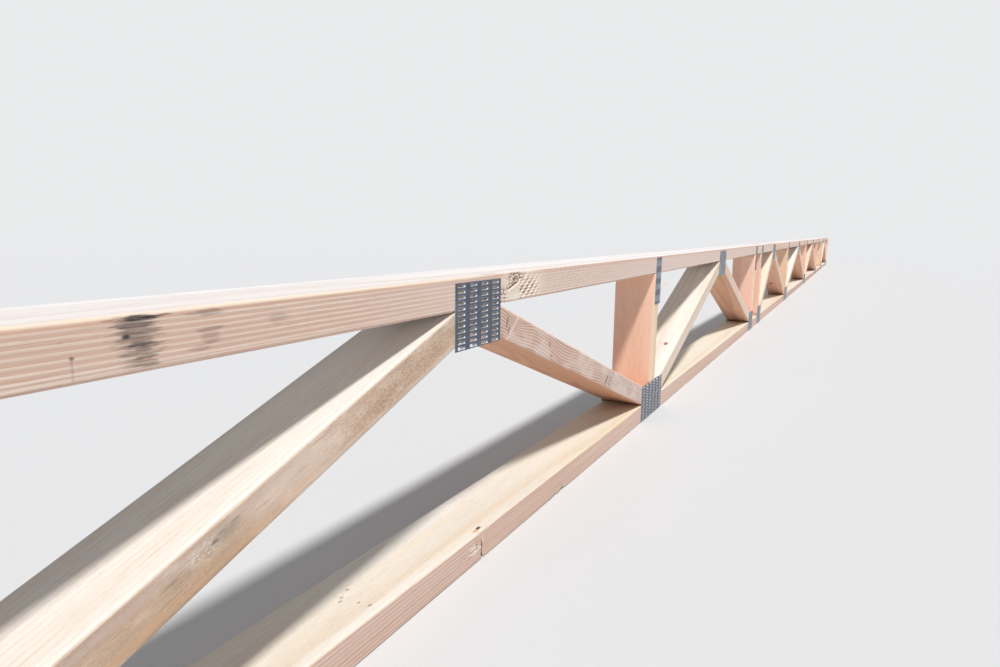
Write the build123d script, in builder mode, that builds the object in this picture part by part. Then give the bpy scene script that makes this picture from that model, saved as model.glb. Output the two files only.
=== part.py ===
"""Parallel-chord wooden truss: two flat 2x4 chords, verticals and diagonal webs between them,
and a toothed steel plate pressed over every joint on both faces.

The truss stands on its bottom chord. X runs along it, Y through its thickness and Z up.
The origin is under the middle of the bottom chord.
"""

import math
import os

from build123d import *

os.makedirs("parts", exist_ok=True)

# Planed 2x4 lumber, laid flat: its narrow side shows on the truss's two faces.
lumber_thickness = 38.1
lumber_width = 88.9
eased_edge = 3.0

# Height over both chords.
truss_depth = 355.6

# Distances between neighbouring panel points, centre to centre.
panel = 762.0
short_panel = 457.2
twin_spacing = 190.5
chase_spacing = 990.6

# Length of the level seat that each diagonal web has on its chord.
web_seat = 50.0

# Panel points at which the two pieces of each chord butt, counted from the near end.
top_splice = 2
bottom_splice = 4

# Galvanized connector plates: 20 gauge sheet, length along X by height.
plate_gauge = 0.9
top_plate_length = 101.6
top_plate_height = 76.2
post_plate_length = 38.1
post_plate_height = 101.6
bottom_plate_height = 76.2
long_bottom_plate_length = 152.4
short_bottom_plate_length = 101.6

# How far each plate's edge stays from the chord's outer edge.
top_plate_margin = 6.3
post_plate_margin = 3.2
bottom_plate_margin = 3.2

# A plate over an inner vertical's head is pressed on a little to one side of it.
post_plate_shift = 6.0

# Panel points from the near end: the chord each one is on, and its distance from the one before.
layout = [
    ("bottom", 0.0),
    ("top", panel),
    ("bottom", panel),
    ("top", panel),
    ("bottom", panel),
    ("bottom", twin_spacing),
    ("top", short_panel),
    ("bottom", panel),
    ("top", panel),
    ("bottom", panel),
    ("top", panel),
    ("bottom", panel),
    ("bottom", chase_spacing),
    ("top", short_panel),
    ("bottom", panel),
]

# Outer faces of the end posts are flush with the chords' ends.
post_span = sum(distance for chord, distance in layout)
truss_length = post_span + lumber_thickness
near_end = -truss_length / 2
far_end = truss_length / 2

points = []
place = near_end + lumber_thickness / 2
for chord, distance in layout:
    place += distance
    points.append((chord, place))
top_points = [x for chord, x in points if chord == "top"]
bottom_points = [x for chord, x in points if chord == "bottom"]

# Clear height between the chords, where the webs and posts stand.
web_floor = lumber_thickness
web_ceiling = truss_depth - lumber_thickness
clear_height = web_ceiling - web_floor


def export_piece(piece, name):
    """Labels a finished piece and writes it under its name."""
    piece.label = name
    export_step(piece, f"parts/{name}.step")


def chord_piece(name, start, end, underside):
    """One stick of a chord, its four long edges eased."""
    with BuildPart() as chord:
        with BuildSketch(Plane.YZ.offset(start)):
            with Locations((0, underside + lumber_thickness / 2)):
                RectangleRounded(lumber_width, lumber_thickness, eased_edge)
        extrude(amount=end - start)
    export_piece(chord.part, name)


def upright(name, x):
    """A vertical or an end post, cut square and standing between the chords."""
    with BuildPart() as post:
        with BuildSketch(Plane.XY.offset(web_floor)):
            with Locations((x, 0)):
                RectangleRounded(lumber_thickness, lumber_width, eased_edge)
        extrude(amount=clear_height)
    export_piece(post.part, name)


def web_slope(run):
    """Angle of a diagonal whose two double-cut ends are `run` apart along the chords.

    The web is as thick as the lumber and has a level seat at each end, which fixes its angle:
    clear_height * cos(angle) - (run - 2 * web_seat) * sin(angle) = lumber_thickness.
    """
    reach = run - 2 * web_seat
    diagonal = math.hypot(clear_height, reach)
    return math.acos(lumber_thickness / diagonal) - math.atan2(reach, clear_height)


def diagonal_web(name, top_x, bottom_x):
    """A web with two cuts at each end: a level seat on the chord and a plumb end.

    The plumb end meets the neighbouring web on the top point's centre line, and the face of
    the upright at the bottom point.
    """
    side = math.copysign(1, bottom_x - top_x)
    run = abs(bottom_x - top_x) - lumber_thickness / 2
    angle = web_slope(run)
    plumb = (lumber_thickness - web_seat * math.sin(angle)) / math.cos(angle)
    outline = [
        (0, web_ceiling),
        (web_seat, web_ceiling),
        (run, web_floor + plumb),
        (run, web_floor),
        (run - web_seat, web_floor),
        (0, web_ceiling - plumb),
    ]
    with BuildPart() as web:
        with BuildSketch(Plane.XZ):
            with BuildLine():
                Polyline([(top_x + side * x, z) for x, z in outline], close=True)
            make_face()
        extrude(amount=lumber_width / 2, both=True)
        fillet(web.edges().sort_by(Edge.length)[-4:], eased_edge)
    export_piece(web.part, name)


def plate_pair(name, left, base, length, height):
    """The two connector plates of one joint, one pressed on each face of the truss."""
    with BuildPart() as plates:
        with BuildSketch(Plane.XZ.offset(lumber_width / 2)):
            with Locations((left, base)):
                Rectangle(length, height, align=(Align.MIN, Align.MIN))
        extrude(amount=plate_gauge)
        mirror(about=Plane.XZ)
    export_piece(plates.part, name)


# Each chord is two sticks, butted under the plates of one panel point.
top_joint_x = top_points[top_splice]
bottom_joint_x = bottom_points[bottom_splice]
chord_piece("bottom_chord_near", near_end, bottom_joint_x, 0)
chord_piece("bottom_chord_far", bottom_joint_x, far_end, 0)
chord_piece("top_chord_near", near_end, top_joint_x, web_ceiling)
chord_piece("top_chord_far", top_joint_x, far_end, web_ceiling)

# An upright stands at every bottom point, and the first and last are the end posts.
upright("end_post_near", bottom_points[0])
upright("end_post_far", bottom_points[-1])
inner_points = bottom_points[1:-1]
for number, x in enumerate(inner_points, start=1):
    upright(f"vertical_web_{number}", x)

# A diagonal joins each top point to the bottom point beside it.
web_number = 0
for (chord, x), (next_chord, next_x) in zip(points, points[1:]):
    if chord == next_chord:
        continue
    web_number += 1
    top_x, bottom_x = (x, next_x) if chord == "top" else (next_x, x)
    diagonal_web(f"diagonal_web_{web_number:02d}", top_x, bottom_x)

# Plates over the top points, where two diagonals meet under the chord.
top_plate_base = truss_depth - top_plate_margin - top_plate_height
for number, x in enumerate(top_points, start=1):
    left = x - top_plate_length / 2
    plate_pair(f"top_plates_{number}", left, top_plate_base, top_plate_length, top_plate_height)

# Narrow plates over the heads of the uprights. Those of the end posts are flush with the ends.
post_plate_base = truss_depth - post_plate_margin - post_plate_height
post_plate_size = (post_plate_length, post_plate_height)
for number, x in enumerate(inner_points, start=1):
    left = x + post_plate_shift - post_plate_length / 2
    plate_pair(f"post_plates_{number}", left, post_plate_base, *post_plate_size)
plate_pair("corner_plates_near", near_end, post_plate_base, *post_plate_size)
plate_pair("corner_plates_far", far_end - post_plate_length, post_plate_base, *post_plate_size)

# Plates over the bottom points: a long one where two diagonals meet the upright, and a short one
# where only one does, which then covers that diagonal's foot and the whole upright.
short_size = (short_bottom_plate_length, bottom_plate_height)
long_size = (long_bottom_plate_length, bottom_plate_height)
for index, (chord, x) in enumerate(points):
    if chord == "top":
        continue
    web_on_left = index > 0 and points[index - 1][0] == "top"
    web_on_right = index < len(points) - 1 and points[index + 1][0] == "top"
    number = bottom_points.index(x)
    if web_on_left and web_on_right:
        left = x - long_bottom_plate_length / 2
        plate_pair(f"bottom_plates_{number}", left, bottom_plate_margin, *long_size)
    elif web_on_left:
        left = x + lumber_thickness / 2 - short_bottom_plate_length
        plate_pair(f"bottom_plates_{number}", left, bottom_plate_margin, *short_size)
    else:
        left = x - lumber_thickness / 2
        plate_pair(f"bottom_plates_{number}", left, bottom_plate_margin, *short_size)
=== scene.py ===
import math
import random

import bmesh
import bpy
from mathutils import Matrix, Vector, noise


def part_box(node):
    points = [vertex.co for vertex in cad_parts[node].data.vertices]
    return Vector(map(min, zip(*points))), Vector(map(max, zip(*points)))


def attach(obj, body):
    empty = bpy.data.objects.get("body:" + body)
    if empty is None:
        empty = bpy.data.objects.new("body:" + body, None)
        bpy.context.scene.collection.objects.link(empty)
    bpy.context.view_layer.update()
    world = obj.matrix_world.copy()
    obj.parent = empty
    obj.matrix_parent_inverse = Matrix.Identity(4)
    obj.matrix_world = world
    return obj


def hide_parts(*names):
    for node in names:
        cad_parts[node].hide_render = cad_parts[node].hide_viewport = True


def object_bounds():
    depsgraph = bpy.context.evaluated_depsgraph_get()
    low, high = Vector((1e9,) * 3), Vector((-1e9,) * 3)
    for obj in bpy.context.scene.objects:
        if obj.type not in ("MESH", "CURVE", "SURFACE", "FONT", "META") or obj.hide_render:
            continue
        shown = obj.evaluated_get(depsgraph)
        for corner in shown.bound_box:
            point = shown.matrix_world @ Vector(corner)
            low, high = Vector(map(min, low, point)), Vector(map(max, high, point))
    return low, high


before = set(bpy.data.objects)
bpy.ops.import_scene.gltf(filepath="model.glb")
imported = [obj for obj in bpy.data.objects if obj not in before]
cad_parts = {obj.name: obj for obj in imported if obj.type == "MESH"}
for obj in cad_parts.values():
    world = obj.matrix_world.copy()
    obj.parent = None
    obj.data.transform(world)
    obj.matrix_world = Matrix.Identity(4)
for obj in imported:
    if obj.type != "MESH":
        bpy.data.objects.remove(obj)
cad_low, cad_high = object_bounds()


# Bottom chord: two sticks of planed softwood 2x4 laid flat, butted end to end under a joint.
# Each is a solid stick with its four long edges eased by the planer. Its wide upper face is pale
# and its narrow front face shows the growth rings as close lines.
chord_low, chord_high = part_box("bottom_chord_near")
lumber_width = chord_high.y - chord_low.y
lumber_thickness = chord_high.z - chord_low.z
half_across, half_up = lumber_width / 2, lumber_thickness / 2
eased_edge = 0.003
corner_cells = 4
face_across = -half_across
near_end = cad_low.x
truss_depth = cad_high.z

# The first panel point of the top chord that the photograph shows whole, and how far past it
# the wood is seen from near by.
plate_low, plate_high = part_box("top_plates_1")
first_top = (plate_low.x + plate_high.x) / 2
seen_closely = 1.15
close_range = first_top + seen_closely
plate_nodes = [node for node in sorted(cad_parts) if "plates" in node]
plate_boxes = [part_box(node) for node in plate_nodes]


def colour(red, green, blue):
    """A colour as a screen shows it, in 0 to 255, as the linear values that a shader takes."""
    shown = [value / 255 for value in (red, green, blue)]
    linear = [s / 12.92 if s <= 0.04045 else ((s + 0.055) / 1.055) ** 2.4 for s in shown]
    return (*linear, 1.0)


class Shade:
    """One output of a material's nodes. Sums on it add Math nodes."""

    def __init__(self, tree, output=None):
        self.tree = tree
        self.output = output

    def node(self, kind, settings, inputs, output=0):
        """Adds a node, its settings first and then its inputs, and gives one of its outputs."""
        made = self.tree.nodes.new(kind)
        for name, value in settings.items():
            setattr(made, name, value)
        for name, value in inputs.items():
            if isinstance(value, Shade):
                self.tree.links.new(value.output, made.inputs[name])
            else:
                made.inputs[name].default_value = value
        return Shade(self.tree, made.outputs[output])

    def math(self, operation, *others):
        """Adds a Math node with this as its first input."""
        return self.node("ShaderNodeMath", {"operation": operation}, dict(enumerate((self, *others))))

    def __add__(self, other):
        return self.math("ADD", other)

    __radd__ = __add__

    def __sub__(self, other):
        return self.math("SUBTRACT", other)

    def __rsub__(self, other):
        return (self * -1.0) + other

    def __mul__(self, other):
        return self.math("MULTIPLY", other)

    __rmul__ = __mul__

    def __truediv__(self, other):
        return self.math("DIVIDE", other)

    def __rtruediv__(self, other):
        return (self / other).math("POWER", -1.0)

    def rise(self, low, high):
        """0 below low, 1 above high, and a smooth step between them."""
        settings = {"interpolation_type": "SMOOTHSTEP"}
        return self.node("ShaderNodeMapRange", settings, {"Value": self, "From Min": low, "From Max": high})

    def near(self, centre, reach):
        """1 at centre, falling to 0 at reach from it."""
        return 1 - ((self - centre).math("ABSOLUTE") / reach).rise(0.0, 1.0)

    def mix(self, first, second, blend="MIX"):
        """The first colour where this is 0 and the second where it is 1."""
        settings = {"data_type": "RGBA", "blend_type": blend, "clamp_factor": True}
        return self.node("ShaderNodeMix", settings, {0: self, 6: first, 7: second}, 2)

    def noise(self, detail=2.0, roughness=0.5):
        """Noise at the place that this vector gives."""
        inputs = {"Vector": self, "Scale": 1.0, "Detail": detail, "Roughness": roughness}
        return self.node("ShaderNodeTexNoise", {}, inputs, "Fac")

    def feed(self, socket):
        """Links this to a shader's input."""
        self.tree.links.new(self.output, socket)


def new_material(name):
    """A new material, its surface node and a start for its other nodes."""
    material = bpy.data.materials.new(name)
    material.use_nodes = True
    tree = material.node_tree
    return material, tree.nodes["Principled BSDF"], Shade(tree)


class Lumber:
    """The finish of one stick: growth rings about a pith, fibres, knots and stains.

    It is drawn in the stick's own directions, u along it, v across its width and w up through
    its thickness, which the mesh carries as its grain. wide and narrow hold the colours of the
    wide and the narrow faces, each as (wood, ring line). pith is where the tree's heart lies from
    the stick's middle, across and up, and wander says how far it strays and how many times a
    metre. onset says where in a ring its line sets in, and evenness how alike the lines are. A
    swirl or a knot is (u, side, direction, size): direction "up" puts it on the wide faces at u
    and v, and "across" on the narrow faces at u and w.
    """

    def __init__(self, name, wide, narrow, pith, ring_width, seed, wander=(0.010, 1.3),
                 contrast=0.8, onset=(0.25, 0.80), evenness=0.45, swirls=(), knots=()):
        self.material, self.surface, self.start = new_material(name)
        self.seed = seed
        grain = self.start.node("ShaderNodeAttribute", {"attribute_name": "grain"}, {}, "Vector")
        self.u, self.v, self.w = [grain.node("ShaderNodeSeparateXYZ", {}, {0: grain}, axis) for axis in "XYZ"]
        self.sunk = self.start.node("ShaderNodeAttribute", {"attribute_name": "sunk"}, {}, "Fac")
        self.pressed = self.start.node("ShaderNodeAttribute", {"attribute_name": "pressed"}, {}, "Fac")
        self.sawn = self.start.node("ShaderNodeAttribute", {"attribute_name": "sawn"}, {}, "Fac")
        self.ragged = self.streaks(75.0, 650.0, 3.0, 17.0)

        # Each is 1 on its faces: the two narrow ones, the front one and the wide upper one.
        self.narrow = (self.v.math("ABSOLUTE") - half_across).rise(-0.00135, -0.00025)
        self.front = 1 - (self.v - face_across).rise(0.00065, 0.00245)
        self.upper = (self.w - half_up).rise(-0.00255, -0.00055)

        # Growth rings: distance from the pith, bent around every swirl and knot.
        far, often = wander
        pith_v = self.streaks(often, 6.0) * far + (pith[0] - far / 2)
        pith_w = self.streaks(often, 6.0, 2.0, 5.0) * far + (pith[1] - far / 2)
        off_v, off_w = self.v - pith_v, self.w - pith_w
        distance = (off_v * off_v + off_w * off_w).math("SQRT")
        hearts = []
        for turn_u, turn_side, direction, size in (*swirls, *knots):
            side = self.v if direction == "up" else self.w
            off_u = (self.u - turn_u) / 1.5
            off_side = side - turn_side + (self.streaks(30.0, 30.0) - 0.5) * size * 0.5
            away = (off_u * off_u + off_side * off_side).math("SQRT") / size
            bend = 1 / (1 + away * away * 0.45)
            if direction == "across":
                bend = bend * (1 - (self.v - face_across).rise(0.00045, 0.01645))
            distance = distance + bend * bend * size * 0.9
            hearts.append(away)
        rings = distance / ring_width + (self.streaks(5.0, 55.0) - 0.5) * 0.35
        phase = rings.math("FRACT")
        which = {"W": rings.math("FLOOR")}
        year = rings.node("ShaderNodeTexWhiteNoise", {"noise_dimensions": "1D"}, which, "Value")
        self.late = phase.rise(*onset) * (1 - phase.rise(0.88, 1.0)) * (evenness + (1 - evenness) * year)

        # Fibres, pores and slow changes of tone along the stick.
        self.fibre = self.streaks(24.0, 900.0, 3.0)
        pores = self.streaks(120.0, 2300.0, 1.0, 3.0).rise(0.62, 0.74)
        tone = self.streaks(1.4, 16.0, 2.0, 8.0).rise(0.35, 0.68)
        wood = self.narrow.mix(wide[0], narrow[0])
        line = self.narrow.mix(wide[1], narrow[1])
        drawn = (self.late * contrast).mix(wood, line)
        drawn = (tone * 0.7).mix(drawn, colour(244, 236, 228), "MULTIPLY")
        drawn = (self.fibre.rise(0.40, 0.70) * 0.8).mix(drawn, colour(243, 236, 230), "MULTIPLY")
        self.drawn = (pores * 0.6).mix(drawn, colour(222, 205, 194), "MULTIPLY")
        self.height = self.late * 0.5 + self.fibre * 0.9
        for away in hearts[len(swirls):]:
            heart, rim = 1 - away.rise(0.80, 1.05), away.near(1.0, 0.4)
            eye = (away * 13.0 + self.ragged * 3.0).math("SINE").rise(-0.6, 0.8)
            self.stain(rim * 0.6, colour(164, 112, 78))
            self.drawn = (heart * 0.92).mix(self.drawn, eye.mix(colour(128, 80, 52), colour(168, 116, 80)))
            self.height = self.height + heart * 0.6
        self.rough = 0.60 + 0.20 * self.fibre

    def streaks(self, along, across, detail=2.0, offset=0.0):
        """Noise drawn out along the grain: so many features a metre along and across it."""
        place = {0: self.u * along + (self.seed + offset), 1: self.v * across, 2: self.w * across}
        return self.start.node("ShaderNodeCombineXYZ", {}, place).noise(detail)

    def spot(self, u, side, direction, long, tall, rag=0.6, firm=0.45):
        """1 inside an ellipse on a face, fading from firm of the way out to its ragged edge."""
        off_u = (self.u - u) / long
        off_side = ((self.v if direction == "up" else self.w) - side) / tall
        away = (off_u * off_u + off_side * off_side).math("SQRT")
        return 1 - (away + (self.ragged - 0.5) * 2 * rag).rise(firm, 1.0)

    def stain(self, mask, tint):
        """Tints the wood where mask is 1."""
        self.drawn = mask.mix(self.drawn, tint)

    def stain_front(self, mask, strength, tint):
        """Tints the front face to this strength where mask is 1."""
        self.stain(mask * self.front * strength, tint)

    def finish(self):
        """Links what has been drawn to the surface, and gives the material.

        Sawn ends soak up more light and show every ring. Wood that a plate covers is bruised grey,
        with dark brown patches of painted shade where the plate's teeth and rims shade it.
        """
        self.drawn = (self.sawn * 0.8).mix(self.drawn, colour(226, 206, 186), "MULTIPLY")
        self.drawn = (self.sawn * self.late).mix(self.drawn, colour(196, 158, 128), "MULTIPLY")
        # Wood in the slots: grey where the plate crushed it, and dark brown patches of painted shade from
        # teeth and rims.
        bruise_and_painted_shade = self.streaks(110.0, 420.0, 2.0, 44.0).rise(0.36, 0.58)
        bruise_and_painted_shade = bruise_and_painted_shade.mix(colour(82, 64, 56), colour(158, 151, 146))
        self.drawn = (self.pressed * 0.80).mix(self.drawn, bruise_and_painted_shade)
        bump = {"Height": self.height, "Distance": 0.00035, "Strength": 0.5}
        self.drawn.feed(self.surface.inputs["Base Color"])
        self.rough.feed(self.surface.inputs["Roughness"])
        self.start.node("ShaderNodeBump", {}, bump, "Normal").feed(self.surface.inputs["Normal"])
        self.surface.inputs["Specular IOR Level"].default_value = 0.25
        return self.material


def stations(start, end, step, close_ups=()):
    """Places along a stick where its mesh has a ring of points, closer together in close-ups."""
    places = [start]
    while places[-1] < end:
        here = places[-1]
        sizes = [size for low, high, size in close_ups if low - size <= here < high]
        onward = here + min([step] + sizes)
        places.append(onward if end - onward > 0.3 * step else end)
    return places


def section(u, seed, cells):
    """Points around a stick's section at u, each with the direction that faces outward there.

    cells are the counts on its upper, front, under and back faces.
    """
    corners = []
    for quarter, (side, level) in enumerate([(1, 1), (-1, 1), (-1, -1), (1, -1)]):
        radius = eased_edge * (1 + 0.35 * noise.noise(Vector((u * 7, quarter * 3.7, seed))))
        centre = (side * (half_across - radius), level * (half_up - radius))
        corner = []
        for step in range(corner_cells + 1):
            angle = math.radians(90) * (quarter + step / corner_cells)
            out = (math.cos(angle), math.sin(angle))
            corner.append((centre[0] + radius * out[0], centre[1] + radius * out[1], *out))
        corners.append(corner)
    around = []
    for quarter, count in enumerate(cells):
        last, following = corners[quarter][-1], corners[(quarter + 1) % 4][0]
        around += corners[quarter]
        for step in range(1, count):
            share = step / count
            place = [a + (b - a) * share for a, b in zip(last[:2], following[:2])]
            around.append((*place, last[2], last[3]))
    return around


def untouched(u, v, w):
    """A stick with no damage of its own."""
    return 0.0


def covers(low, high, corners):
    """Whether the plates of one joint lie over all of these places on the truss's two faces."""
    return all(low.x < x < high.x and low.z < z < high.z for x, y, z in corners)


# Depths of the long waves and of the short ripples that a planer leaves.
planed_wave = 0.00012
planed_ripple = 0.00005
# A place this near the front or back plane counts as on that face.
face_slack = 0.0015


def stick(node, pose, places, cells, wood, damage=untouched, cuts=(), growth=None):
    """Makes one stick in place of its CAD node, and gives it the finish of its wood.

    pose carries (u, v, w) of the stick to its place in the truss. The faces get the slight
    waves of planed wood, damage says how deep the surface is broken away at a place, cuts are
    the planes that its ends are sawn to, each a point and an outward direction, and growth adds
    a sliver of the same wood.
    """
    points, depths, faces = [], [], []
    for u in places:
        for v, w, out_v, out_w in section(u, wood.seed, cells):
            wave = noise.noise(Vector((u * 2.3 + wood.seed, v * 15, w * 15)))
            ripple = noise.noise(Vector((u * 42 + wood.seed, v * 70, w * 70)))
            broken = damage(u, v, w)
            inset = planed_wave * (1 + wave) + planed_ripple * (1 + ripple) + broken
            points.append((u, v - out_v * inset, w - out_w * inset))
            depths.append(broken)
    ring = len(points) // len(places)
    for row in range(len(places) - 1):
        for column in range(ring):
            beside = (column + 1) % ring
            here, ahead = row * ring, (row + 1) * ring
            faces.append((here + column, here + beside, ahead + beside, ahead + column))
    faces.append(tuple(reversed(range(ring))))
    faces.append(tuple(range(len(points) - ring, len(points))))
    mesh = bpy.data.meshes.new(node + "_wood")
    mesh.from_pydata(points, [], faces)
    mesh.attributes.new("sunk", "FLOAT", "POINT").data.foreach_set("value", depths)
    mesh.shade_smooth()
    work = bmesh.new()
    work.from_mesh(mesh)
    sawn_layer = work.faces.layers.float.new("sawn")
    for cap in [face for face in work.faces if len(face.verts) > 4]:
        cap.smooth = False
        cap[sawn_layer] = 1.0
    for point, outward in cuts:
        everything = work.verts[:] + work.edges[:] + work.faces[:]
        sawn = bmesh.ops.bisect_plane(
            work, geom=everything, plane_co=point, plane_no=outward, clear_outer=True)["geom_cut"]
        rim = [piece for piece in sawn if isinstance(piece, bmesh.types.BMEdge)]
        for face in bmesh.ops.edgeloop_fill(work, edges=rim)["faces"]:
            face.smooth = False
            face[sawn_layer] = 1.0
    if growth:
        growth(work)
    bmesh.ops.recalc_face_normals(work, faces=work.faces)
    work.to_mesh(mesh)
    work.free()
    grain = mesh.attributes.new("grain", "FLOAT_VECTOR", "POINT")
    grain.data.foreach_set("vector", [value for vertex in mesh.vertices for value in vertex.co])
    mesh.transform(pose)
    pressed = []
    for face in mesh.polygons:
        corners = [mesh.vertices[index].co for index in face.vertices]
        facing = abs(corners[0].y) > half_across - face_slack
        pressed.append(float(facing and any(covers(low, high, corners) for low, high in plate_boxes)))
    mesh.attributes.new("pressed", "FLOAT", "FACE").data.foreach_set("value", pressed)
    mesh.materials.append(wood.finish())
    piece = bpy.data.objects.new(node + "_stick", mesh)
    bpy.context.scene.collection.objects.link(piece)
    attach(piece, "root")
    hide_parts(node)


def chord_stick(node, height, step, close_ups, cells, wood, damage=untouched):
    """Makes one stick of a chord whose middle runs at height. Its u is the truss's own X."""
    low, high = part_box(node)
    places = stations(low.x, high.x, step, close_ups)
    stick(node, Matrix.Translation((0, 0, height)), places, cells, wood, damage)


# Below the first top point a small knot comes out on the chord's upper edge, and the wood under
# it has split across the front face. Further on, the lower edge is chipped.
knot_along = first_top + 0.0160
knot_across = face_across + 0.0077
split_along = first_top + 0.0140
split_depth = 0.0060
torn_depth = 0.0015
chip_reach = 0.011
# Chips along the edge, as (place, reach along the edge, depth), and torn places beside the
# split, as (place, height, half length, half height).
chips = [(first_top + 0.237, 0.009, 0.0035), (first_top + 0.266, 0.012, 0.0045)]
torn_chips = [(first_top, 0.003, 0.012, 0.007), (first_top - 0.030, -0.002, 0.014, 0.004)]


def bottom_damage(u, v, w):
    """Depth of the split at the edge knot, and of the chips along the lower front edge."""
    depth = 0.0
    front = v - face_across
    if front < 0.006 and abs(u - knot_along) < 0.08:
        wander = 0.0022 * noise.noise(Vector((w * 130, 4.2, 1.0)))
        wander += 0.0007 * noise.noise(Vector((w * 700, 1.2, 3.0)))
        half_gap = 0.0009 + 0.0013 * (0.019 - w) / 0.038
        off_split = (u - split_along - wander) / half_gap
        depth = split_depth * math.exp(-off_split ** 4) * min(1.0, max(0.16, (0.008 - w) / 0.010))
        for place, level, long, tall in torn_chips:
            patch = math.exp(-((u - place) / long) ** 2 - ((w - level) / tall) ** 2)
            strands = noise.noise(Vector((u * 150, v * 200, w * 1100)))
            depth += torn_depth * patch * max(0.0, 0.2 + 1.6 * strands)
    for place, reach, deepest in chips:
        along = abs(u - place) / reach
        corner = (front + w + half_up) / chip_reach
        if along < 1 and corner < 1:
            rough = 0.6 + 0.4 * noise.noise(Vector((u * 300, v * 300, w * 300)))
            depth += deepest * (1 - along) * (1 - corner) * rough
    return max(depth, 0.0)


bottom_near = Lumber(
    "bottom_chord_near_wood",
    (colour(234, 230, 222), colour(227, 213, 194)), (colour(230, 206, 193), colour(199, 165, 151)),
    (0.010, -0.230), 0.0046, 11.0, (0.012, 0.9), swirls=[(knot_along, 0.019, "across", 0.006)])
bottom_near.stain(bottom_near.streaks(2.0, 60.0, 3.0, 30.0).rise(0.52, 0.75) * 0.40, colour(236, 216, 178))
ember = bottom_near.spot(split_along + 0.008, 0.000, "across", 0.014, 0.016, 0.5, 0.1)
bottom_near.stain_front(ember, 0.40, colour(222, 176, 146))
torn = bottom_near.spot(split_along - 0.018, 0.001, "across", 0.028, 0.013, 0.9, 0.2)
bottom_near.stain_front(torn * (1 - bottom_near.ragged.rise(0.38, 0.52)), 0.50, colour(184, 142, 120))
bottom_near.stain_front(torn * bottom_near.ragged.rise(0.46, 0.56), 0.90, colour(254, 244, 234))
# Painted shade: the split, the chips and the torn places are darkened by their depth.
painted_gouge_shade = bottom_near.sunk.rise(0.0004, 0.0022)
bottom_near.stain(painted_gouge_shade * 0.88, colour(92, 54, 40))

# Its upper face: creamier further on, with resin beside the knot, painted shade in its hole and specks of
# dirt before it.
top_side = bottom_near.w.rise(0.0150, 0.0180)
creamier = bottom_near.u.rise(first_top + 0.12, first_top + 0.35)
bottom_near.stain(creamier * top_side * 0.30, colour(228, 212, 178))
resin = bottom_near.spot(knot_along - 0.008, knot_across - 0.001, "up", 0.008, 0.0030, 0.3) * top_side
bottom_near.stain(resin * 0.7, colour(222, 146, 74))
painted_hole_shade = bottom_near.spot(knot_along, knot_across, "up", 0.0065, 0.0032, 0.2) * top_side
bottom_near.stain(painted_hole_shade * 0.95, colour(58, 46, 44))
for speck_along, speck_across in [
        (-0.173, 0.0078), (-0.187, 0.0030), (-0.193, -0.0005), (-0.185, -0.0178), (-0.183, -0.0304)]:
    speck = bottom_near.spot(first_top + speck_along, speck_across, "up", 0.0034, 0.0018, 0.5) * top_side
    bottom_near.stain(speck * 0.6, colour(112, 92, 78))
chord_stick(
    "bottom_chord_near", half_up, 0.016,
    [(near_end, close_range, 0.006), (first_top - 0.075, knot_along + 0.020, 0.0010),
     (split_along - 0.004, split_along + 0.004, 0.0004), (first_top + 0.225, first_top + 0.28, 0.0015)],
    (20, 30, 6, 6), bottom_near, bottom_damage)

# The far stick has three small knots.
bottom_far = Lumber(
    "bottom_chord_far_wood",
    (colour(236, 229, 218), colour(227, 209, 186)), (colour(220, 197, 185), colour(175, 140, 125)),
    (-0.012, 0.190), 0.0044, 31.0,
    knots=[(0.62, 0.018, "up", 0.010), (2.4, -0.021, "up", 0.012), (4.1, 0.006, "up", 0.009)])
chord_stick("bottom_chord_far", half_up, 0.030, (), (8, 6, 6, 6), bottom_far)


# End posts and verticals: short 2x4 uprights sawn square, standing on the bottom chord.
# Fresh, reddish softwood cut across the rings, so that fine straight lines run up the wide faces,
# which look along the truss. Plates at head and foot hold them.
upright_tones = [
    ((colour(246, 207, 185), colour(234, 184, 159)), (colour(246, 224, 198), colour(226, 192, 162))),
    ((colour(240, 212, 186), colour(224, 184, 150)), (colour(246, 224, 192), colour(224, 190, 156))),
    ((colour(248, 210, 193), colour(232, 182, 160)), (colour(246, 226, 192), colour(226, 194, 158))),
]
uprights = ["end_post_near"] + [f"vertical_web_{number}" for number in range(1, 8)] + ["end_post_far"]


def web_pose(low, high, along):
    """Pose of a web or upright in the middle of its CAD box, with its u in this direction."""
    across = Vector((0, 1, 0))
    turn = Matrix((along, across, along.cross(across))).transposed().to_4x4()
    return Matrix.Translation((low + high) / 2) @ turn


# A thin splinter has peeled off the first vertical's edge and curls out past its upper plate.
# Its places are (u, v, w) on that stick, with its width there.
splinter = [
    (0.086, -0.0415, -0.0165, 0.0030), (0.098, -0.0440, -0.0200, 0.0026), (0.107, -0.0460, -0.0330, 0.0022),
    (0.113, -0.0470, -0.0600, 0.0018), (0.119, -0.0470, -0.0760, 0.0013), (0.126, -0.0465, -0.0890, 0.0005),
]
splinter_thickness = 0.0009


def peel(work):
    """Adds the splinter, as a closed strip whose root is inside the wood."""
    rings = []
    for u, v, w, width in splinter:
        sides = [(-1, -1), (1, -1), (1, 1), (-1, 1)]
        corners = [(u + a * width / 2, v + b * splinter_thickness / 2, w) for a, b in sides]
        rings.append([work.verts.new(corner) for corner in corners])
    for ring, onward in zip(rings, rings[1:]):
        for side in range(4):
            beside = (side + 1) % 4
            work.faces.new((ring[side], ring[beside], onward[beside], onward[side]))
    work.faces.new(rings[0])
    work.faces.new(rings[-1])


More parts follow.
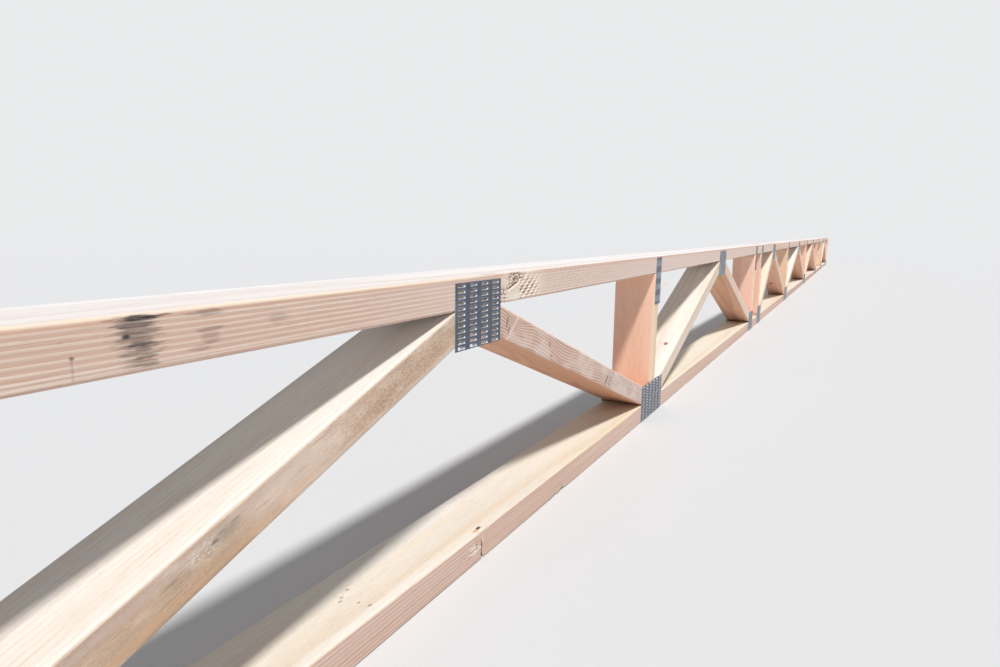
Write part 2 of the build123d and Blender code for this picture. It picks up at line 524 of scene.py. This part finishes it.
for number, node in enumerate(uprights):
    low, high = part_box(node)
    wide, narrow = upright_tones[0 if number == 1 else number % 3]
    pith = (-0.200 + 0.015 * (number % 4), 0.006 * (number % 3))
    seed = 50.0 + 7.0 * number
    wood = Lumber(node + "_wood", wide, narrow, pith, 0.0034 + 0.0004 * (number % 4), seed, (0.006, 1.6), 0.6)
    closely = number == 1
    step, cells = (0.006, (22, 14, 8, 8)) if closely else (0.020, (10, 6, 10, 6))
    half = (high.z - low.z) / 2
    pose = web_pose(low, high, Vector((0, 0, 1)))
    stick(node, pose, stations(-half, half, step), cells, wood, growth=peel if closely else None)


# Diagonal webs: 2x4s with two saw cuts at each end, a level seat that bears on the chord and a
# plumb end that meets the neighbouring web or the upright. Only the plates hold them.
web_seat = 0.050


def diagonal(number, step, cells, wood):
    """Makes one diagonal. Odd numbers rise along the truss and even ones fall."""
    node = f"diagonal_web_{number:02d}"
    low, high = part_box(node)
    clear_height = high.z - low.z
    reach = high.x - low.x - 2 * web_seat
    longest = math.hypot(clear_height, reach)
    angle = math.acos(lumber_thickness / longest) - math.atan2(reach, clear_height)
    rising = 1 if number % 2 else -1
    pose = web_pose(low, high, Vector((math.cos(angle), 0, rising * math.sin(angle))))
    back = pose.inverted()
    corners = [(low, (-1, 0, 0)), (high, (1, 0, 0)), (low, (0, 0, -1)), (high, (0, 0, 1))]
    cuts = [(back @ corner, back.to_3x3() @ Vector(outward)) for corner, outward in corners]
    half = longest / 2 + lumber_thickness
    stick(node, pose, stations(-half, half, step), cells, wood, cuts=cuts)


# The first diagonal is pale: cream on its wide faces, with a narrow face that was sawn along the
# rings and is mottled with grey.
first_wood = Lumber(
    "diagonal_web_01_wood",
    (colour(230, 226, 220), colour(222, 212, 200)), (colour(211, 184, 160), colour(192, 161, 135)),
    (-0.190, -0.030), 0.0062, 120.0, (0.014, 1.2), 0.55)
mottle = first_wood.streaks(26.0, 85.0, 3.0, 21.0)
first_wood.stain(mottle.rise(0.50, 0.66) * first_wood.narrow * 0.50, colour(186, 160, 138))
first_wood.stain((1 - mottle.rise(0.32, 0.48)) * first_wood.narrow * 0.48, colour(244, 222, 202))
by_plate = first_wood.u.rise(0.060, 0.160)
speckle = first_wood.streaks(360.0, 820.0, 2.0, 12.0)
specked = (0.40 + by_plate * 0.60) * first_wood.narrow
first_wood.stain(speckle.rise(0.56, 0.68) * specked * 0.46, colour(128, 108, 96))
first_wood.stain((1 - speckle.rise(0.32, 0.44)) * specked * 0.42, colour(240, 226, 212))
paler = first_wood.spot(0.105, 0.001, "across", 0.100, 0.034, 0.3, 0.1)
first_wood.stain_front(paler, 0.55, colour(244, 224, 209))

# Bands run along its narrow faces: amber low down, rosy higher up, and a pale rim at either edge.
amber = first_wood.w.near(-0.0120, 0.0070) * first_wood.streaks(7.0, 40.0, 3.0, 70.0).rise(0.38, 0.60)
first_wood.stain(amber * (1 - by_plate * 0.9) * first_wood.narrow * 0.50, colour(222, 180, 144))
lower_rim = first_wood.w.near(-0.0160, 0.0060) * by_plate * first_wood.narrow
first_wood.stain(lower_rim * 0.60, colour(226, 209, 196))
rosy = first_wood.w.near(0.0110, 0.0075) * first_wood.streaks(5.0, 30.0, 2.0, 90.0).rise(0.30, 0.55)
first_wood.stain(rosy * first_wood.narrow * 0.45, colour(218, 200, 192))
first_wood.stain(first_wood.w.rise(0.0155, 0.0180) * first_wood.narrow * 0.70, colour(232, 222, 208))
scratch = first_wood.streaks(26.0, 520.0, 2.0, 40.0).rise(0.62, 0.70)
first_wood.stain_front(scratch, 0.45, colour(176, 136, 104))

# Midway its fibres are frayed, and something has left a grey smear with a dark spot in it.
frayed = first_wood.spot(0.004, 0.0060, "across", 0.026, 0.0100, 0.5, 0.3)
first_wood.stain_front(frayed * speckle.rise(0.45, 0.58), 0.62, colour(244, 232, 220))
smear = first_wood.spot(0.022, 0.0055, "across", 0.020, 0.0085, 0.5, 0.1)
first_wood.stain_front(smear, 0.25 + mottle.rise(0.40, 0.55) * 0.35, colour(158, 146, 132))
for spot_u, spot_w, long, tall, strength in [
        (0.0125, 0.0060, 0.0052, 0.0024, 0.75), (0.0200, 0.0085, 0.0050, 0.0018, 0.35),
        (0.0330, 0.0090, 0.0070, 0.0016, 0.35), (0.0050, 0.0000, 0.0060, 0.0016, 0.35),
        (-0.0260, 0.0040, 0.0090, 0.0026, 0.30), (0.0560, 0.0020, 0.0100, 0.0026, 0.14)]:
    spot = first_wood.spot(spot_u, spot_w, "across", long, tall, 0.35, 0.3)
    first_wood.stain_front(spot, strength, colour(116, 112, 112))
diagonal(1, 0.005, (18, 20, 6, 6), first_wood)

# The second has wavy grain. Near its upper end the rings dip around a knot that the saw has just
# missed, and a pale scar runs across them there.
scar_u, scar_lean = -0.304, 0.62
second_wood = Lumber(
    "diagonal_web_02_wood",
    (colour(220, 172, 142), colour(196, 142, 112)), (colour(225, 195, 179), colour(143, 115, 105)),
    (0.020, -0.120), 0.0041, 140.0, (0.024, 5.0), 0.80, (0.35, 0.85), 0.50,
    swirls=[(scar_u + 0.010, 0.026, "across", 0.018)])
scar = (second_wood.u - second_wood.w * scar_lean + (second_wood.ragged - 0.5) * 0.004).near(scar_u, 0.0045)
second_wood.stain_front(scar, 0.75, colour(246, 218, 200))
second_wood.stain(second_wood.w.rise(0.0155, 0.0175) * second_wood.narrow * 0.7, colour(250, 214, 192))
bleached = second_wood.streaks(16.0, 30.0, 3.0, 60.0).rise(0.48, 0.66)
second_wood.stain_front(bleached, 0.45, colour(240, 222, 212))

# Towards its foot it is greyer, and short dark marks run across it in a few places.
foot = second_wood.u.rise(-0.05, 0.20) * (1 - 0.6 * second_wood.late)
second_wood.stain_front(foot, 0.45, colour(222, 210, 206))
halo = second_wood.spot(0.110, 0.001, "across", 0.030, 0.018, 0.6, 0.2)
second_wood.stain_front(halo, 0.40, colour(196, 184, 186))
for mark_u, mark_w, long, tall, strength in [
        (-0.3220, 0.0020, 0.0035, 0.0130, 0.60), (-0.3140, -0.0060, 0.0030, 0.0090, 0.60),
        (-0.1810, 0.0030, 0.0035, 0.0060, 0.60), (-0.1710, -0.0110, 0.0040, 0.0040, 0.60),
        (0.0950, 0.0005, 0.0036, 0.0056, 0.95), (0.0905, -0.0060, 0.0038, 0.0060, 0.95),
        (0.0865, -0.0120, 0.0034, 0.0050, 0.95), (0.1140, 0.0030, 0.0032, 0.0040, 0.80),
        (0.1108, -0.0035, 0.0032, 0.0036, 0.90), (0.1078, -0.0100, 0.0032, 0.0036, 0.95),
        (0.1240, 0.0150, 0.0032, 0.0030, 0.60), (0.2405, 0.0090, 0.0018, 0.0070, 0.40),
        (0.2365, -0.0020, 0.0018, 0.0070, 0.40), (0.2335, -0.0120, 0.0018, 0.0060, 0.40)]:
    mark = second_wood.spot(mark_u, mark_w, "across", long, tall, 0.7, 0.3)
    second_wood.stain_front(mark, strength, colour(92, 82, 84))
diagonal(2, 0.005, (18, 20, 14, 6), second_wood)

# Of the other ten, those that rise along the truss have pale wide faces, and those that fall have
# reddish ones, darker and warmer as painted shade for undersides that face away from the light.
# Each pair is (wide, narrow), and each of these is (wood, ring line).
rising_tones = [
    ((colour(240, 220, 202), colour(224, 194, 170)), (colour(244, 226, 210), colour(216, 188, 168))),
    ((colour(237, 231, 224), colour(225, 210, 194)), (colour(240, 226, 212), colour(216, 190, 172))),
]
falling_tones_with_painted_shade = [
    ((colour(226, 184, 158), colour(206, 154, 126)), (colour(244, 224, 208), colour(216, 186, 166))),
    ((colour(234, 190, 166), colour(214, 162, 136)), (colour(244, 226, 210), colour(218, 188, 168))),
]
web_knots = {
    3: [(-0.190, -0.018, "up", 0.0045)],
    6: [(0.12, 0.010, "up", 0.009)],
    9: [(-0.2, 0.02, "up", 0.008)],
}
for number in range(3, 13):
    wide, narrow = (rising_tones if number % 2 else falling_tones_with_painted_shade)[number // 2 % 2]
    seed = 150.0 + 9.0 * number
    pith = (0.030 * (number % 3 - 1), 0.080 + 0.030 * (number % 4))
    wood = Lumber(
        f"diagonal_web_{number:02d}_wood", wide, narrow, pith, 0.0040 + 0.0004 * (number % 5), seed,
        (0.012, 1.5), 0.7, knots=web_knots.get(number, ()))
    diagonal(number, 0.022, (8, 6, 8, 6), wood)


# Top chord: two more sticks of 2x4, butted under the third top joint. The sun has bleached the
# upper face, and the raised rings stand out pale on the front, where black rubber has scuffed it.
# By the first plate the planer has torn the grain out around a knot.
top_height = truss_depth - half_up
torn_start = first_top + 0.050
torn_end = first_top + 0.175
# The crevice across the torn place, as its ends along the chord and up from its underside.
crevice_start, crevice_end = (0.073, 0.0165), (0.100, 0.0240)
# The damage dies out this far in from the front face.
torn_reach = 0.016
cell_rows, cell_columns, cell_slant = 0.0039, 0.0150, 0.0055
cell_depth = 0.0021
# Height of the lowest row of cells, and half the length and height of one cell.
lowest_row, cell_long, cell_tall = 0.0020, 0.0066, 0.00165


def bump(x, middle, reach):
    """A smooth hump about middle."""
    return math.exp(-((x - middle) / reach) ** 2)


def torn_cells(x, z):
    """Depth of the scale-like cells in which the grain has lifted, in slanting rows."""
    row = round((z - lowest_row) / cell_rows)
    shifted = x - cell_slant * row - 0.0025
    column = round(shifted / cell_columns)
    chance = noise.cell(Vector((column * 1.7 + 0.3, row * 2.3 + 0.3, 5.5)))
    off_x = (shifted - column * cell_columns + 0.0012 * chance) / cell_long
    off_z = (z - lowest_row - row * cell_rows - 0.14 * (shifted - column * cell_columns)) / cell_tall
    inside = max(0.0, 1 - off_x ** 2 - off_z ** 2)
    return cell_depth * math.sqrt(inside) * (0.75 + 0.25 * chance)


def top_damage(u, v, w):
    """Depth of the torn grain beside the first plate, on the front face and its upper edge."""
    x, z = u - first_top, w + half_up
    front = v - face_across
    if not 0.050 < x < 0.200 or front > torn_reach:
        return 0.0
    strand = noise.noise(Vector((x * 130 - z * 150, x * 260 + z * 620, 2.0)))
    grit = noise.noise(Vector((x * 420, z * 700, v * 300 + 7)))

    # Upper part: fibres torn out in strands, deepest where the upper edge is broken away.
    over = z - (crevice_start[1] + (x - crevice_start[0]) * 0.28)
    upper = min(1.0, max(0.0, over / 0.002)) * bump(x, 0.094, 0.021)
    depth = upper * (0.0006 + 0.0058 * max(0.0, 0.10 + strand) + 0.0012 * max(0.0, grit))
    cavity = bump(x, 0.089, 0.016) * bump(z, 0.0365, 0.0022)
    depth += 0.0030 * cavity * max(0.0, 0.5 + 1.6 * grit)

    # A deep crevice under it, and below that a facet left smooth.
    along = (x - crevice_start[0]) / (crevice_end[0] - crevice_start[0])
    if -0.1 < along < 1.1:
        middle = crevice_start[1] + along * (crevice_end[1] - crevice_start[1])
        depth += 0.0034 * bump(z, middle, 0.0011) * bump(along, 0.5, 0.55)
    facet = bump(x, 0.090, 0.020) ** 2 * bump(z, 0.009, 0.0085) ** 2

    # Beyond it the grain has lifted in cells, and by the plate's edge in ragged fibres.
    cells = min(1.0, max(0.0, (x - 0.101) / 0.006)) * min(1.0, max(0.0, (0.172 - x) / 0.030))
    cells *= min(1.0, max(0.0, (0.034 - z) / 0.006))
    fibres = bump(x, 0.060, 0.011) * min(1.0, max(0.0, (0.021 - z) / 0.004))
    depth += torn_cells(x, z) * cells + fibres * (0.0006 + 0.0052 * max(0.0, strand + 0.5 * grit))
    depth = depth * (1 - facet) + 0.0007 * facet
    return max(0.0, depth) * max(0.0, 1 - front / torn_reach)


top_near = Lumber(
    "top_chord_near_wood",
    (colour(239, 238, 240), colour(231, 227, 226)), (colour(223, 195, 179), colour(247, 234, 223)),
    (0.006, -0.210), 0.0042, 210.0, (0.009, 1.1), 0.95, (0.40, 0.70), 0.80,
    swirls=[(first_top + 0.095, 0.006, "across", 0.009)])
pinker = top_near.streaks(3.0, 40.0, 3.0, 33.0).rise(0.45, 0.70)
top_near.stain_front(pinker, 0.30, colour(226, 190, 172))
greyer = top_near.u.rise(first_top - 0.25, first_top + 0.02)
top_near.stain_front(greyer, 0.50, colour(232, 212, 204))

# Lines along the front face: a cream rim and brown rings at its top, a brown rim and a pale ring below.
front_edge = 1 - (top_near.v - face_across).rise(0.00045, 0.00395)
onward = top_near.u.rise(first_top - 0.02, first_top + 0.06)
cream = front_edge * top_near.w.near(0.0182, 0.0026) * (1 - 0.75 * onward)
top_near.stain(cream * 0.80, colour(242, 220, 194))
top_near.stain_front(top_near.w.near(0.0168, 0.0016) * onward, 0.70, colour(186, 144, 124))
top_near.stain_front(top_near.w.near(0.0146, 0.0016), 0.55, colour(214, 172, 148))
top_near.stain(front_edge * top_near.w.near(-0.0180, 0.0028) * 0.75, colour(204, 166, 146))
top_near.stain_front(top_near.w.near(-0.0148, 0.0010), 0.55, colour(248, 234, 222))

# Black scuffs and a pencil tick on the front face: along from the first top point, height, half
# length, half height and strength.
scuffs = [
    (-0.4045, 0.3518, 0.018, 0.0018, 1.00), (-0.4085, 0.3480, 0.014, 0.0036, 0.75),
    (-0.4070, 0.3415, 0.016, 0.0028, 0.68),
    (-0.4045, 0.3361, 0.012, 0.0015, 0.95), (-0.4035, 0.3325, 0.007, 0.0017, 0.80),
    (-0.4030, 0.3278, 0.010, 0.0019, 0.70), (-0.4045, 0.3235, 0.012, 0.0022, 0.55),
    (-0.4060, 0.3400, 0.017, 0.0135, 0.50), (-0.3590, 0.3505, 0.016, 0.0018, 0.40),
    (-0.3560, 0.3390, 0.011, 0.0018, 0.35), (-0.3560, 0.3325, 0.009, 0.0040, 0.28),
    (-0.3640, 0.3270, 0.010, 0.0016, 0.25), (-0.2970, 0.3400, 0.011, 0.0034, 0.22),
    (-0.4456, 0.3275, 0.0012, 0.0075, 0.24),
]
soot = None
for scuff_along, height, long, tall, strength in scuffs:
    place = (first_top + scuff_along, height - top_height, "across", long * 1.1, tall * 1.5)
    mark = top_near.spot(*place, 0.8, 0.45) * strength
    soot = mark if soot is None else soot.math("MAXIMUM", mark)
caught = top_near.streaks(130.0, 1100.0, 2.0, 55.0).rise(0.30, 0.55)
held = (0.80 + 0.20 * caught) * (1 - 0.25 * top_near.late)
top_near.stain_front(soot, held, colour(54, 52, 60))
for dot_along, height, long, tall, strength in [
        (-0.4138, 0.3416, 0.0038, 0.0020, 0.90), (-0.4453, 0.3334, 0.0020, 0.0016, 0.60)]:
    dot = top_near.spot(first_top + dot_along, height - top_height, "across", long, tall, 0.2, 0.3)
    top_near.stain_front(dot, strength, colour(58, 56, 64))

# Chatter marks of the planer slant across the front face beyond the torn place.
beyond = top_near.u.rise(first_top + 0.15, first_top + 0.25)
before = 1 - top_near.u.rise(first_top + 0.45, first_top + 0.62)
chatter = ((top_near.u - top_near.w * 0.95) * 345.0).math("SINE").rise(0.55, 1.0)
chatter = chatter * beyond * before * top_near.ragged.rise(0.42, 0.60)
top_near.stain_front(chatter, 0.4, colour(172, 142, 126))

# Above the first plate something has rubbed the upper face grey by its edge.
rubbed = top_near.spot(first_top + 0.030, face_across + 0.0045, "up", 0.026, 0.0042, 1.2, 0.2)
top_near.stain(rubbed * top_near.upper * 0.55, colour(150, 146, 138))

# The torn place: cream where fibres stand up, painted shade darkening the pits and hollows by their depth,
# and a greenish smooth facet.
pit = top_near.sunk.rise(0.0006, 0.0019)
torn_place = top_near.spot(first_top + 0.110, 0.001, "across", 0.085, 0.032, 0.2) * front_edge
top_near.stain(torn_place * (1 - pit) * 0.60, colour(250, 230, 210))
smooth = top_near.spot(first_top + 0.090, -0.0100, "across", 0.022, 0.0100, 0.15)
top_near.stain_front(smooth, 0.75, colour(236, 232, 214))
top_near.stain(pit * 0.75, colour(150, 110, 90))
top_near.stain(top_near.sunk.rise(0.0030, 0.0052) * 0.70, colour(92, 58, 46))
chord_stick(
    "top_chord_near", top_height, 0.016,
    [(near_end, close_range, 0.006), (torn_start - 0.004, torn_end, 0.0009)],
    (20, 46, 6, 6), top_near, top_damage)

# The far stick is bleached in the same way, and has two small knots.
top_far = Lumber(
    "top_chord_far_wood",
    (colour(239, 237, 238), colour(229, 221, 216)), (colour(231, 206, 194), colour(246, 229, 217)),
    (0.010, 0.160), 0.0046, 230.0, knots=[(0.9, 0.014, "up", 0.010), (3.0, -0.018, "up", 0.011)])
chord_stick("top_chord_far", top_height, 0.030, (), (8, 6, 6, 6), top_far)


# Connector plates: 20 gauge galvanized sheet, punched so that each slot gives two teeth, one bent
# down at either end. A press drives the teeth into the wood on both faces of every joint. The
# sheet is dull, and bright where the punch has burnished its teeth and the rims of its slots, and
# a painted glint makes each tooth brightest along its lower edge.
gauge = 0.0009
slot_pitch = 0.0254
row_pitch = 0.00635
slot_length = 0.0150
slot_height = 0.0038
# The punch drags the slot's rim inward, so its walls slope by this much.
rolled_rim = 0.0008
# A tooth's bend takes it so far along the slot, and so far down.
bend_reach = 0.0025
bend_drop = 0.0022
bend_cells = 5
trough = 0.0011
tooth_depth = 0.0045
tooth_thickness = 0.0008
# A tooth starts this far inside the sheet, where its inner side is at this depth.
root_overlap = 0.0008
root_depth = 0.00085
random.seed(7)


def grid_lines(size, pitch, opening):
    """Edges of the openings along one side of a plate, with the plate's own two edges."""
    count = round(size / pitch)
    margin = (size - count * pitch) / 2
    lines = [0.0]
    for number in range(count):
        middle = margin + (number + 0.5) * pitch
        lines += [middle - opening / 2, middle + opening / 2]
    return lines + [size]


def punched_sheet(work, length, height, place):
    """A flat sheet with its slots, as one closed skin. place carries (a, b, depth) to the truss."""
    burnish_and_glint = work.verts.layers.float["burnish_and_glint"]
    grid = []
    for depth, spread in ((0.0, rolled_rim), (gauge, -rolled_rim)):
        along = grid_lines(length, slot_pitch, slot_length + spread)
        up = grid_lines(height, row_pitch, slot_height + spread)
        grid.append([[work.verts.new(place(a, b, depth)) for b in up] for a in along])
    for vertex in [vertex for row in grid[1] for vertex in row]:
        vertex[burnish_and_glint] = 0.7

    def solid(i, j):
        inside = 0 <= i < len(along) - 1 and 0 <= j < len(up) - 1
        return inside and not (i % 2 and j % 2)

    for i in range(len(along) - 1):
        for j in range(len(up) - 1):
            if not solid(i, j):
                continue
            for layer in grid:
                work.faces.new((layer[i][j], layer[i + 1][j], layer[i + 1][j + 1], layer[i][j + 1]))
            sides = [((i, j), (i + 1, j), (i, j - 1)), ((i, j + 1), (i + 1, j + 1), (i, j + 1)),
                     ((i, j), (i, j + 1), (i - 1, j)), ((i + 1, j), (i + 1, j + 1), (i + 1, j))]
            for first, second, beyond in sides:
                if not solid(*beyond):
                    edge = [grid[0][first[0]][first[1]], grid[0][second[0]][second[1]],
                            grid[1][second[0]][second[1]], grid[1][first[0]][first[1]]]
                    work.faces.new(edge)


def tooth(work, root, side, low, high, place):
    """One tooth: a troughed strip that leaves the end of a slot, bends down and enters the wood.

    The punch has burnished it, and a painted glint makes it brightest along its lower edge.
    """
    reach = bend_reach * random.uniform(0.70, 1.30)
    drop = bend_drop * random.uniform(0.80, 1.20)
    lean = random.uniform(-0.0004, 0.0004)
    skin = random.uniform(0.00003, 0.00018)
    outer = [(root - side * root_overlap, skin)]
    for step in range(bend_cells + 1):
        angle = math.radians(90) * step / bend_cells
        outer.append((root + side * reach * math.sin(angle), skin + drop * (1 - math.cos(angle))))
    outer.append((root + side * (reach + lean), tooth_depth))
    inner = [(root + side * (reach + lean - tooth_thickness), tooth_depth)]
    for turned in (90, 60, 30):
        angle = math.radians(turned)
        inside = root + side * (reach - tooth_thickness) * math.sin(angle)
        inner.append((inside, root_depth + drop * (1 - math.cos(angle))))
    inner.append((root - side * root_overlap, root_depth))
    outline = outer + inner
    count = len(outline)
    burnish_and_glint = work.verts.layers.float["burnish_and_glint"]
    rows = []
    for share, sag in ((0.0, 0.0), (0.5, trough), (1.0, 0.0)):
        height = low + (high - low) * share
        row = []
        for step, (a, depth) in enumerate(outline):
            # The trough runs along the outer side of the bend and dies out at the root.
            fade = min(1.0, step / 3) if step < len(outer) else 0.0
            row.append(work.verts.new(place(a - side * sag * fade * 0.5, height, depth + sag * fade)))
            # Painted glint: brightest at the tooth's lower edge, fading upward.
            row[-1][burnish_and_glint] = max(0.1, 1.0 - 1.2 * share)
        rows.append(row)
    for first, second in zip(rows, rows[1:]):
        for step in range(count):
            following = (step + 1) % count
            work.faces.new((first[step], first[following], second[following], second[step]))
    work.faces.new(rows[0])
    work.faces.new(rows[-1])


# Its zinc is spangled, clouded and finely specked, and bright where the punch has worn it and where a glint
# is painted on the teeth.
steel, steel_surface, steel_start = new_material("galvanized_sheet")
place_on_steel = steel_start.node("ShaderNodeTexCoord", {}, {}, "Object")


def on_steel(scale, detail=2.0):
    """Noise on the plates with so many features a metre."""
    scaled = {0: place_on_steel, "Scale": scale}
    return place_on_steel.node("ShaderNodeVectorMath", {"operation": "SCALE"}, scaled).noise(detail)


grains = {"Vector": place_on_steel, "Scale": 260.0}
spangle = steel_start.node("ShaderNodeTexVoronoi", {"feature": "F1"}, grains, "Color")
spangle = spangle.node("ShaderNodeSeparateColor", {}, {0: spangle}, "Red")
cloudy = on_steel(55.0, 4.0)
zinc = (0.2 + spangle * 0.5).mix(colour(70, 78, 92), colour(93, 101, 115))
zinc = (cloudy.rise(0.48, 0.78) * 0.50).mix(zinc, colour(126, 133, 146))
zinc = (on_steel(420.0, 3.0).rise(0.60, 0.72) * 0.50).mix(zinc, colour(46, 52, 64))
burnish_and_glint = steel_start.node("ShaderNodeAttribute", {"attribute_name": "burnish_and_glint"}, {}, "Fac")
zinc = burnish_and_glint.mix(zinc, colour(232, 238, 246))
zinc.feed(steel_surface.inputs["Base Color"])
(0.30 + cloudy * 0.20).feed(steel_surface.inputs["Roughness"])
steel_bump = {"Height": on_steel(900.0, 3.0), "Distance": 0.0001, "Strength": 0.4}
steel_start.node("ShaderNodeBump", {}, steel_bump, "Normal").feed(steel_surface.inputs["Normal"])
steel_surface.inputs["Metallic"].default_value = 0.44


def plate_pair(node):
    """Makes the two plates of one joint. Their slots run along the plate's longer stock side."""
    low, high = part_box(node)
    upright = node.startswith(("post", "corner"))
    length, height = high.x - low.x, high.z - low.z
    if upright:
        length, height = height, length
    mesh = bpy.data.meshes.new(node + "_sheet")
    work = bmesh.new()
    work.verts.layers.float.new("burnish_and_glint")
    for side in (-1, 1):

        def place(a, b, depth):
            across = side * (high.y - depth)
            return (low.x + b, across, low.z + a) if upright else (low.x + a, across, low.z + b)

        punched_sheet(work, length, height, place)
        along = grid_lines(length, slot_pitch, slot_length)
        up = grid_lines(height, row_pitch, slot_height)
        for i in range(1, len(along) - 1, 2):
            for j in range(1, len(up) - 1, 2):
                base, head = up[j] + random.uniform(0.0, 0.0004), up[j + 1] - random.uniform(0.0, 0.0004)
                tooth(work, along[i], 1, base, head, place)
                tooth(work, along[i + 1], -1, base, head, place)
    bmesh.ops.recalc_face_normals(work, faces=work.faces)
    work.to_mesh(mesh)
    work.free()
    mesh.materials.append(steel)
    piece = bpy.data.objects.new(node + "_pressed", mesh)
    bpy.context.scene.collection.objects.link(piece)
    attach(piece, "root")
    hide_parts(node)


for node in plate_nodes:
    plate_pair(node)


# Studio: a plain pale floor that runs out into a backdrop of the same tone, one soft light from
# above on the camera's side, and an even fill.
backdrop = colour(234, 235, 236)
floor_radius = 60
# Between these distances from the truss's middle the floor turns into the backdrop.
blend_start, blend_end = 6.5, 26.0


def blend_shaders(factor, first, second, end):
    """Leads to a tree's end the first shader where factor is 0 and the second where it is 1."""
    tree = factor.tree
    blend = tree.nodes.new("ShaderNodeMixShader")
    factor.feed(blend.inputs["Fac"])
    tree.links.new(first.outputs[0], blend.inputs[1])
    tree.links.new(second.outputs[0], blend.inputs[2])
    tree.links.new(blend.outputs[0], tree.nodes[end].inputs["Surface"])


bpy.ops.mesh.primitive_circle_add(vertices=96, radius=floor_radius, fill_type="NGON", location=(0, 0, 0))
floor = bpy.context.object
floor.name = "floor"
paper, paper_surface, paper_start = new_material("studio_floor")
paper_surface.inputs["Base Color"].default_value = colour(211, 212, 213)
paper_surface.inputs["Roughness"].default_value = 0.9
floor_place = paper_start.node("ShaderNodeTexCoord", {}, {}, "Object")
distance = floor_place.node("ShaderNodeVectorMath", {"operation": "LENGTH"}, {0: floor_place}, "Value")
glow = paper.node_tree.nodes.new("ShaderNodeEmission")
glow.inputs["Color"].default_value = backdrop
blend_shaders(distance.rise(blend_start, blend_end), paper_surface, glow, "Material Output")
floor.data.materials.append(paper)

sun = bpy.data.lights.new("key", "SUN")
sun.energy = 3.4
sun.angle = math.radians(5.5)
sun.color = (1.0, 0.985, 0.97)
key = bpy.data.objects.new("key", sun)
towards_sun = Vector((-0.50, -0.36, 1.0))
key.rotation_euler = towards_sun.to_track_quat("Z", "Y").to_euler()
bpy.context.scene.collection.objects.link(key)

world = bpy.data.worlds.new("studio")
world.use_nodes = True
world_tree = world.node_tree
fill = world_tree.nodes["Background"]
fill.inputs["Color"].default_value = colour(234, 237, 243)
fill.inputs["Strength"].default_value = 0.36

# The camera, and whatever is seen mirrored or through glass, gets the backdrop and not the fill.
seen = world_tree.nodes.new("ShaderNodeBackground")
seen.inputs["Color"].default_value = backdrop
rays = world_tree.nodes.new("ShaderNodeLightPath")
by_camera, by_gloss, by_glass = [
    Shade(world_tree, rays.outputs[f"Is {kind} Ray"]) for kind in ("Camera", "Glossy", "Transmission")]
in_view = by_camera.math("MAXIMUM", by_gloss).math("MAXIMUM", by_glass)
blend_shaders(in_view, fill, seen, "World Output")
bpy.context.scene.world = world

# The camera stands close to the front face near the cut-off end, a little above the top chord.
image_width = 1000
focal_pixels = 648.2
camera_yaw = 0.5017
camera_pitch = 0.1602
camera_roll = -0.0143
camera_place = (first_top - 0.6415, face_across - 0.3804, 0.4087)
lens = bpy.data.cameras.new("camera")
lens.sensor_width = 36
lens.lens = focal_pixels / image_width * lens.sensor_width
lens.clip_start = 0.02
camera = bpy.data.objects.new("camera", lens)
level = math.cos(camera_pitch)
forward = Vector((math.cos(camera_yaw) * level, math.sin(camera_yaw) * level, -math.sin(camera_pitch)))
right = Vector((math.sin(camera_yaw), -math.cos(camera_yaw), 0))
down = forward.cross(right)
turned_right = math.cos(camera_roll) * right + math.sin(camera_roll) * down
turned_down = math.cos(camera_roll) * down - math.sin(camera_roll) * right
turn = Matrix((turned_right, -turned_down, -forward)).transposed().to_4x4()
camera.matrix_world = Matrix.Translation(camera_place) @ turn
bpy.context.scene.collection.objects.link(camera)
bpy.context.scene.camera = camera
bpy.context.scene.view_settings.view_transform = "Standard"
